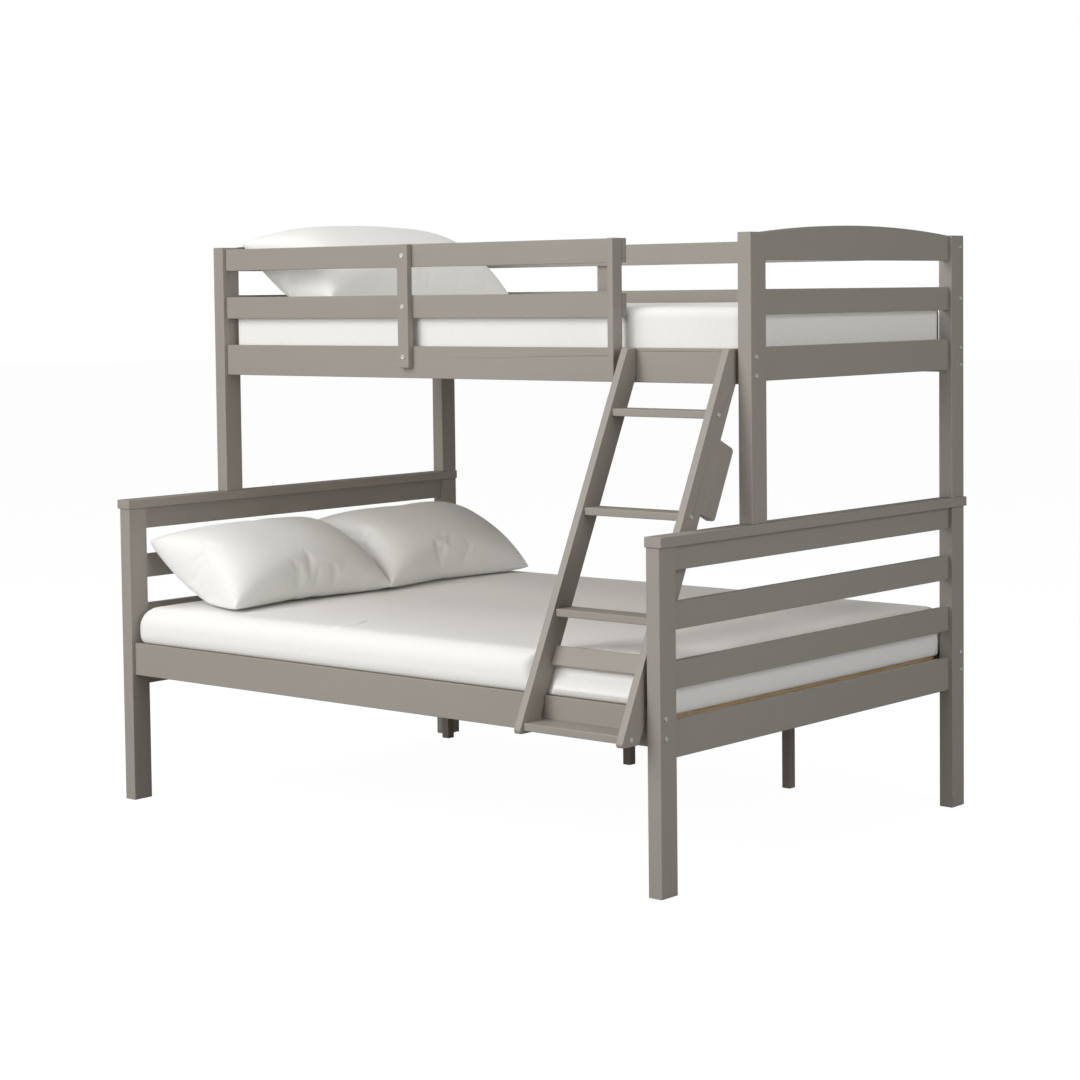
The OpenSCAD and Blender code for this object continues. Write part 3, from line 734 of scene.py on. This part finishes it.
@dataclass
class Mattress:
    """A foam mattress in a fitted white cotton cover: full round edges and a low crown."""

    node: str
    slot: str
    edge: float
    crown: float
    cell: float
    seed: int
    corner: float = 0.032
    hem: float = 0.012
    rail_top: Optional[float] = None
    swell: float = 0.0
    roll: Tuple[float, ...] = (0.0, 0.0015, 0.006, 0.012, 0.020, 0.030)
    roll_held: Tuple[float, ...] = (1.0, 0.52, 0.30, 0.15, 0.05, 0.0)
    ladder: Optional[LadderRest] = None
    creases: List["Crease"] = field(default_factory=list)
    side_clear: float = 0.0015

    def block(self) -> bpy.types.Object:
        """Cuts the foam: a box with round edges, meshed evenly.

        Returns:
            The mesh object.
        """
        low, high = (Vector(c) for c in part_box(self.node))
        bpy.ops.object.select_all(action="DESELECT")
        bpy.ops.mesh.primitive_cube_add(size=1.0, location=(low + high) / 2)
        piece = bpy.context.object
        piece.name = f"{self.node}_cover"
        piece.scale = high - low
        bpy.ops.object.transform_apply(location=True, rotation=False, scale=True)
        middle = (low.z + high.z) / 2
        self.round_edges(piece, lambda bottom, top: bottom < middle < top, self.corner, 6)
        self.round_edges(piece, lambda bottom, top: bottom > middle, self.edge, 8)
        self.round_edges(piece, lambda bottom, top: top < middle, self.hem, 3)
        apply_modifier(piece, "REMESH", mode="VOXEL", voxel_size=self.cell, use_smooth_shade=True)
        if self.rail_top is not None:
            self.add_rings(piece, [self.rail_top + lift for lift in self.roll])
        return piece

    @staticmethod
    def add_rings(piece: bpy.types.Object, levels: Sequence[float]) -> None:
        """Cuts level rings of edges round the foam block.

        Args:
            piece: The foam block.
            levels: Heights of the rings.
        """
        only(piece)
        bpy.ops.object.mode_set(mode="EDIT")
        for level in levels:
            bpy.ops.mesh.select_all(action="SELECT")
            bpy.ops.mesh.bisect(plane_co=(0.0, 0.0, level), plane_no=(0.0, 0.0, 1.0))
        bpy.ops.object.mode_set(mode="OBJECT")

    @staticmethod
    def round_edges(
        piece: bpy.types.Object, wanted: Callable[[float, float], bool], radius: float, steps: int
    ) -> None:
        """Rounds the sharp edges that are wanted.

        Args:
            piece: The foam block.
            wanted: Tells from the heights of an edge's lower and upper end if it is rounded.
            radius: Radius of the rounding.
            steps: Facets of the rounding.
        """
        only(piece)
        bpy.ops.object.mode_set(mode="EDIT")
        bpy.ops.mesh.select_mode(type="EDGE")
        bpy.ops.mesh.select_all(action="DESELECT")
        mesh = bmesh.from_edit_mesh(piece.data)
        for edge in mesh.edges:
            heights = sorted(v.co.z for v in edge.verts)
            is_sharp = len(edge.link_faces) == 2 and edge.calc_face_angle() > math.radians(60)
            edge.select = is_sharp and wanted(*heights)
        bmesh.update_edit_mesh(piece.data)
        bpy.ops.mesh.bevel(offset=radius, segments=steps, profile=0.5, affect="EDGES")
        bpy.ops.object.mode_set(mode="OBJECT")

    def shape(self, piece: bpy.types.Object) -> None:
        """Gives the foam its crown, its swell over the rails and its folds.

        Args:
            piece: The foam block.
        """
        points = vertices_of(piece)
        low, high = (np.array(c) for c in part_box(self.node))
        middle = (low + high) / 2
        half = (high - low) / 2
        side = (points - middle) / half
        top = smooth_step(side[:, 2], -0.2, 0.9)
        spread = (1.0 - np.abs(side[:, 0]) ** 4) * (1.0 - np.abs(side[:, 1]) ** 4)
        points[:, 2] += self.crown * top * np.clip(spread, 0.0, 1.0)
        if self.rail_top is not None:
            # Between the rails the mattress is as narrow as the space, above them it swells.
            held = np.interp(points[:, 2] - self.rail_top, self.roll, self.roll_held)
            reach = smooth_step(np.abs(side[:, 1]), 0.9, 0.95)
            points[:, 1] -= np.sign(side[:, 1]) * held * reach * self.swell
        else:
            # The long sides stay a little inside the foam's box.
            points[:, 1] = np.clip(
                points[:, 1], low[1] + self.side_clear, high[1] - self.side_clear
            )
        drift = np.array(
            [
                noise.noise(Vector((p[0] * 2.1 + self.seed, p[1] * 2.7, p[2] * 2.0)))
                for p in points
            ]
        )
        points[:, 2] += 0.0028 * drift * top
        if self.ladder is not None:
            points = self.ladder.press(points)
        move_vertices(piece, points)

    def build(self, material: bpy.types.Material, body: str) -> bpy.types.Object:
        """Args:
            material: Its cover.
            body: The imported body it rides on.

        Returns:
            The finished piece.
        """
        piece = self.block()
        self.shape(piece)
        for crease in self.creases:
            crease.press(piece)
        dress(piece, material)
        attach(piece, body)
        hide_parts(self.node)
        LOG.info("%s: %d faces", piece.name, len(piece.data.polygons))
        return piece


@dataclass
class Pillow:
    """A feather pillow in a cotton slip: two panels sewn along their edges and filled full.

    Its place is given by the middle of its upper edge, which leans on the head end, and the
    middle of its lower edge, which lies on the mattress.
    """

    node: str
    slot: str
    upper: Tuple[float, float, float]
    lower: Tuple[float, float, float]
    length: float
    fullness: float
    bed_top: float
    seed: int
    cell: float = 0.0085
    frames: int = 18
    pressure: float = 4.0
    slack: float = 0.050
    most_move: float = 0.030

    def width(self) -> float:
        """Distance between the two long edges."""
        return (Vector(self.upper) - Vector(self.lower)).length

    def panels(self) -> bpy.types.Object:
        """Sews two curved panels together along their edges.

        Returns:
            A closed cushion form, lying round the origin.
        """
        length, width = self.length, self.width()
        bpy.ops.object.select_all(action="DESELECT")
        bpy.ops.mesh.primitive_grid_add(
            x_subdivisions=int(length / self.cell),
            y_subdivisions=int(width / self.cell),
            size=1.0,
            location=(0.0, 0.0, 0.0),
        )
        piece = bpy.context.object
        piece.name = f"{self.node}_slip"
        piece.scale = (length, width, 1.0)
        bpy.ops.object.transform_apply(location=False, rotation=False, scale=True)
        bpy.ops.object.mode_set(mode="EDIT")
        bpy.ops.mesh.select_all(action="SELECT")
        bpy.ops.mesh.duplicate()
        bpy.ops.mesh.flip_normals()
        bpy.ops.object.mode_set(mode="OBJECT")
        points = vertices_of(piece)
        count = len(points) // 2
        u = points[:, 0] / (length / 2)
        v = points[:, 1] / (width / 2)
        side = np.where(np.arange(len(points)) < count, 1.0, -1.0)
        end = np.clip(1.0 - np.abs(u) ** 4.6, 0.0, 1.0) ** 0.56
        long_edge = np.clip(1.0 - np.abs(v) ** 2.6, 0.0, 1.0) ** 0.62
        soft = np.array(
            [noise.noise(Vector((p[0] * 6 + self.seed, p[1] * 6, 0.4))) for p in points]
        )
        points[:, 2] = side * self.fullness / 2 * end * long_edge * (1.0 + 0.05 * soft)
        # The edges pull in between the corners, most where the pillow is fullest.
        points[:, 1] *= 1.0 - 0.035 * (1.0 - u * u)
        points[:, 0] *= 1.0 - 0.030 * (1.0 - v * v)
        move_vertices(piece, points)
        only(piece)
        bpy.ops.object.mode_set(mode="EDIT")
        bpy.ops.mesh.select_all(action="SELECT")
        bpy.ops.mesh.remove_doubles(threshold=0.0002)
        bpy.ops.mesh.normals_make_consistent(inside=False)
        bpy.ops.object.mode_set(mode="OBJECT")
        return piece

    def fill(self, piece: bpy.types.Object) -> None:
        """Lets a cloth simulation put the slack of the slip into soft wrinkles.

        Args:
            piece: The sewn panels.
        """
        start = vertices_of(piece)
        only(piece)
        modifier = piece.modifiers.new("Filling", "CLOTH")
        cloth = modifier.settings
        cloth.quality = 6
        cloth.mass = 0.3
        cloth.tension_stiffness = 18.0
        cloth.compression_stiffness = 18.0
        cloth.shear_stiffness = 8.0
        cloth.bending_stiffness = 1.0
        cloth.air_damping = 3.0
        cloth.shrink_min = -self.slack
        cloth.use_pressure = True
        cloth.uniform_pressure_force = self.pressure
        cloth.effector_weights.gravity = 0.0
        modifier.collision_settings.use_collision = False
        modifier.collision_settings.use_self_collision = False
        modifier.point_cache.frame_start = 1
        modifier.point_cache.frame_end = self.frames + 1
        scene = bpy.context.scene
        for frame in range(1, self.frames + 1):
            scene.frame_set(frame)
        bpy.ops.object.modifier_apply(modifier=modifier.name)
        scene.frame_set(1)
        move = vertices_of(piece) - start
        far = np.linalg.norm(move, axis=1, keepdims=True)
        keep = self.most_move * np.tanh(far / self.most_move) / np.maximum(far, 1e-9)
        move_vertices(piece, start + move * keep)

    def settle(self, piece: bpy.types.Object) -> None:
        """Trims the filled pillow to its size, leans it and lets its underside rest.

        Args:
            piece: The filled pillow.
        """
        points = vertices_of(piece)
        low, high = points.min(0), points.max(0)
        size = high - low
        points -= (low + high) / 2
        points[:, :2] *= np.array([self.length, self.width()]) / size[:2]
        v = points[:, 1] / (self.width() / 2)
        # The filling sinks a little toward the lower edge.
        points[:, 2] *= 1.0 - 0.08 * v
        upper, lower = Vector(self.upper), Vector(self.lower)
        down = (lower - upper).normalized()
        along = Vector((0.0, 1.0, 0.0))
        out = down.cross(along)
        if out.z < 0:
            out = -out
        middle = (upper + lower) / 2
        basis = np.array([along, -down, out])
        placed = points @ basis + np.array(middle)
        # The underside flattens on the mattress, with a small gap to it.
        rest = self.bed_top
        give = 0.030
        depth = np.clip((rest + give - placed[:, 2]) / give, 0.0, None)
        placed[:, 2] = np.where(
            depth > 0.0, rest + give * np.exp(-depth - 0.25 * depth * depth), placed[:, 2]
        )
        # The upper edge leans on the head end, and nothing reaches into its boards.
        wall = self.upper[0]
        near = np.clip((wall + 0.02 - placed[:, 0]) / 0.02, 0.0, None)
        placed[:, 0] = np.where(near > 0.0, wall + 0.02 * np.exp(-near), placed[:, 0])
        move_vertices(piece, placed)

    def build(self, material: bpy.types.Material, body: str) -> bpy.types.Object:
        """Args:
            material: Its slip.
            body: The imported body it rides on.

        Returns:
            The finished piece.
        """
        piece = self.panels()
        self.fill(piece)
        self.settle(piece)
        apply_modifier(piece, "SUBSURF", levels=1, render_levels=1)
        for polygon in piece.data.polygons:
            polygon.use_smooth = True
        dress(piece, material)
        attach(piece, body)
        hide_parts(self.node)
        LOG.info("%s: %d faces", piece.name, len(piece.data.polygons))
        return piece


@dataclass
class Bedding:
    """The two mattresses and the three pillows.

    A pillow's upper edge stands a gap away from the head end and a rise above the mattress, and
    its lower edge lies a run away from the head end. The lifts raise the pillows over the tops of
    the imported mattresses, which the covers' crowns stand above.
    """

    pillow_gap: float = 0.014
    hem_lift: float = 0.010
    lower_lift: float = 0.004
    lower_rise: float = 0.190
    lower_run: float = 0.395
    upper_lift: float = 0.006
    upper_rise: float = 0.200
    upper_run: float = 0.405

    def build(self) -> None:
        """Makes every soft piece."""
        cover = WovenCotton("fitted_cotton_cover", "#f8f6f3", crease=0.12).build()
        slip = WovenCotton("washed_cotton_slip", "#f6f5f2", crease=0.20).build()
        rail_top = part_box("lower_side_rail_front")[1][2]
        Mattress(
            "lower_mattress",
            "mattress_cover",
            edge=0.058,
            crown=0.004,
            cell=0.009,
            seed=3,
            rail_top=rail_top,
            swell=0.026,
            ladder=LadderRest.read(),
            creases=[Crease((-0.150, -0.640), (-0.200, -0.455))],
        ).build(cover, "lower_mattress")
        Mattress(
            "upper_mattress",
            "mattress_cover",
            edge=0.03,
            crown=0.008,
            cell=0.011,
            seed=8,
        ).build(cover, "upper_mattress")
        self.lower_pillows(slip)
        self.upper_pillow(slip)

    def lower_pillows(self, slip: bpy.types.Material) -> None:
        """Makes the two pillows of the lower bed.

        Args:
            slip: Their cotton.
        """
        bed_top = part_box("lower_mattress")[1][2] + self.lower_lift
        head_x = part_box("lower_high_slat_head")[1][0]
        for name, mid_y, seed in (
            ("lower_pillow_front", -0.277, 11),
            ("lower_pillow_back", 0.372, 29),
        ):
            Pillow(
                name,
                "pillow_cotton",
                upper=(head_x + self.pillow_gap, mid_y, bed_top + self.lower_rise),
                lower=(head_x + self.lower_run, mid_y, bed_top + self.hem_lift),
                length=0.668,
                fullness=0.172,
                bed_top=bed_top,
                seed=seed,
            ).build(slip, name)

    def upper_pillow(self, slip: bpy.types.Material) -> None:
        """Makes the long pillow of the upper bed.

        Args:
            slip: Its cotton.
        """
        low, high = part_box("upper_pillow")
        mid_y = (low[1] + high[1]) / 2
        bed_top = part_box("upper_mattress")[1][2] + self.upper_lift
        head_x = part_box("upper_mid_rail_head")[1][0]
        Pillow(
            "upper_pillow",
            "pillow_cotton",
            upper=(head_x + self.pillow_gap, mid_y, bed_top + self.upper_rise),
            lower=(head_x + self.upper_run, mid_y, bed_top + self.hem_lift),
            length=0.84,
            fullness=0.205,
            bed_top=bed_top,
            seed=47,
        ).build(slip, "upper_pillow")


@dataclass(frozen=True)
class Softbox:
    """One square soft light: where it hangs, its side in metres, its watts and its aim."""

    name: str
    place: Point
    size: float
    power: float
    aim: Point = (0.0, 0.0, 0.7)


@dataclass
class Studio:
    """The pale floor, the soft lights and the camera."""

    camera_at: Tuple[float, float, float] = (4.6894, -5.4213, 1.5016)
    yaw: float = 40.502
    pitch: float = 3.449
    roll: float = -0.666
    lens: float = 82.02
    shift_y: float = -0.0917
    floor_glow: float = 0.965
    floor_shade: float = 0.10
    floor_bounce: float = 0.35
    floor_size: float = 80.0
    surround_glow: float = 0.16
    softboxes: Tuple[Softbox, ...] = (
        Softbox("Key softbox", (-2.4, -5.4, 5.0), 3.6, 148.0),
        Softbox("Front softbox", (0.2, -6.0, 3.6), 3.6, 112.0),
        Softbox("Low front softbox", (-1.0, -6.5, 1.6), 2.8, 98.0),
        Softbox("Top softbox", (0.0, 0.2, 5.6), 4.0, 76.0),
        Softbox("Side softbox", (6.0, -0.6, 2.3), 2.6, 100.0, (0.0, 0.0, 0.8)),
    )

    def camera(self) -> None:
        """Places the camera."""
        data = bpy.data.cameras.new("Studio camera")
        data.lens = self.lens
        data.sensor_width = 36.0
        data.shift_y = self.shift_y
        data.clip_end = 200.0
        camera = bpy.data.objects.new("Studio camera", data)
        bpy.context.collection.objects.link(camera)
        yaw, pitch, roll = (math.radians(a) for a in (self.yaw, self.pitch, self.roll))
        ahead = Vector(
            (-math.sin(yaw) * math.cos(pitch), math.cos(yaw) * math.cos(pitch), -math.sin(pitch))
        )
        right = Vector((math.cos(yaw), math.sin(yaw), 0.0))
        up = right.cross(ahead)
        turned_right = math.cos(roll) * right + math.sin(roll) * up
        turned_up = -math.sin(roll) * right + math.cos(roll) * up
        turn = Matrix((turned_right, turned_up, -ahead)).transposed().to_4x4()
        camera.matrix_world = Matrix.Translation(self.camera_at) @ turn
        bpy.context.scene.camera = camera

    def hang(self, box: Softbox) -> None:
        """Hangs one softbox and turns it to its aim.

        Args:
            box: The softbox.
        """
        data = bpy.data.lights.new(box.name, "AREA")
        data.shape = "SQUARE"
        data.size = box.size
        data.energy = box.power
        light = bpy.data.objects.new(box.name, data)
        bpy.context.collection.objects.link(light)
        way = Vector(box.aim) - Vector(box.place)
        light.matrix_world = (
            Matrix.Translation(box.place) @ way.to_track_quat("-Z", "Y").to_matrix().to_4x4()
        )

    def surround(self) -> None:
        """Surrounds the set with white: bright behind it, softer as a light."""
        world = bpy.data.worlds.new("White surround")
        bpy.context.scene.world = world
        world.use_nodes = True
        tree = world.node_tree
        tree.nodes.clear()
        seen = add_node(
            tree, "ShaderNodeBackground", {"Color": (1.0, 1.0, 1.0, 1.0), "Strength": 1.0}
        ).outputs["Background"]
        lit = add_node(
            tree,
            "ShaderNodeBackground",
            {"Color": (1.0, 0.995, 0.985, 1.0), "Strength": self.surround_glow},
        ).outputs["Background"]
        ray = add_node(tree, "ShaderNodeLightPath").outputs["Is Camera Ray"]
        mixed = add_node(tree, "ShaderNodeMixShader", {0: ray, 1: lit, 2: seen}).outputs["Shader"]
        add_node(tree, "ShaderNodeOutputWorld", {"Surface": mixed})

    def floor(self) -> None:
        """Lays the plain white floor, evenly bright, with only a breath of shadow on it."""
        bpy.ops.object.select_all(action="DESELECT")
        bpy.ops.mesh.primitive_plane_add(size=self.floor_size, location=(0.0, 0.0, 0.0))
        floor = bpy.context.object
        floor.name = "Studio floor"
        material = bpy.data.materials.new("lit_white_acrylic")
        material.use_nodes = True
        tree = material.node_tree
        tree.nodes.clear()
        glow = add_node(
            tree, "ShaderNodeEmission", {"Color": (1.0, 1.0, 1.0, 1.0), "Strength": self.floor_glow}
        ).outputs["Emission"]
        sheet = add_node(
            tree, "ShaderNodeBsdfDiffuse", {"Color": (self.floor_shade,) * 3 + (1.0,)}
        ).outputs["BSDF"]
        seen = add_node(tree, "ShaderNodeAddShader", {0: glow, 1: sheet}).outputs["Shader"]
        lit = add_node(
            tree, "ShaderNodeBsdfDiffuse", {"Color": (self.floor_bounce,) * 3 + (1.0,)}
        ).outputs["BSDF"]
        ray = add_node(tree, "ShaderNodeLightPath").outputs["Is Camera Ray"]
        mixed = add_node(tree, "ShaderNodeMixShader", {0: ray, 1: lit, 2: seen}).outputs["Shader"]
        add_node(tree, "ShaderNodeOutputMaterial", {"Surface": mixed})
        dress(floor, material)

    def build(self) -> None:
        """Sets the studio up."""
        self.camera()
        self.surround()
        for box in self.softboxes:
            self.hang(box)
        self.floor()
        bpy.context.scene.view_settings.view_transform = "Standard"
        LOG.info("studio ready")


def main() -> None:
    """Loads the frame, dresses it, makes the bedding and sets the studio up."""
    logging.basicConfig(level=logging.INFO, format="%(name)s: %(message)s")
    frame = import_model()
    soft_nodes = [n for n in frame["nodes"] if "mattress" in n or "pillow" in n]
    BedFrame(frame["nodes"]).build(soft_nodes)
    Bedding().build()
    Studio().build()


if __name__ == "__main__":
    main()
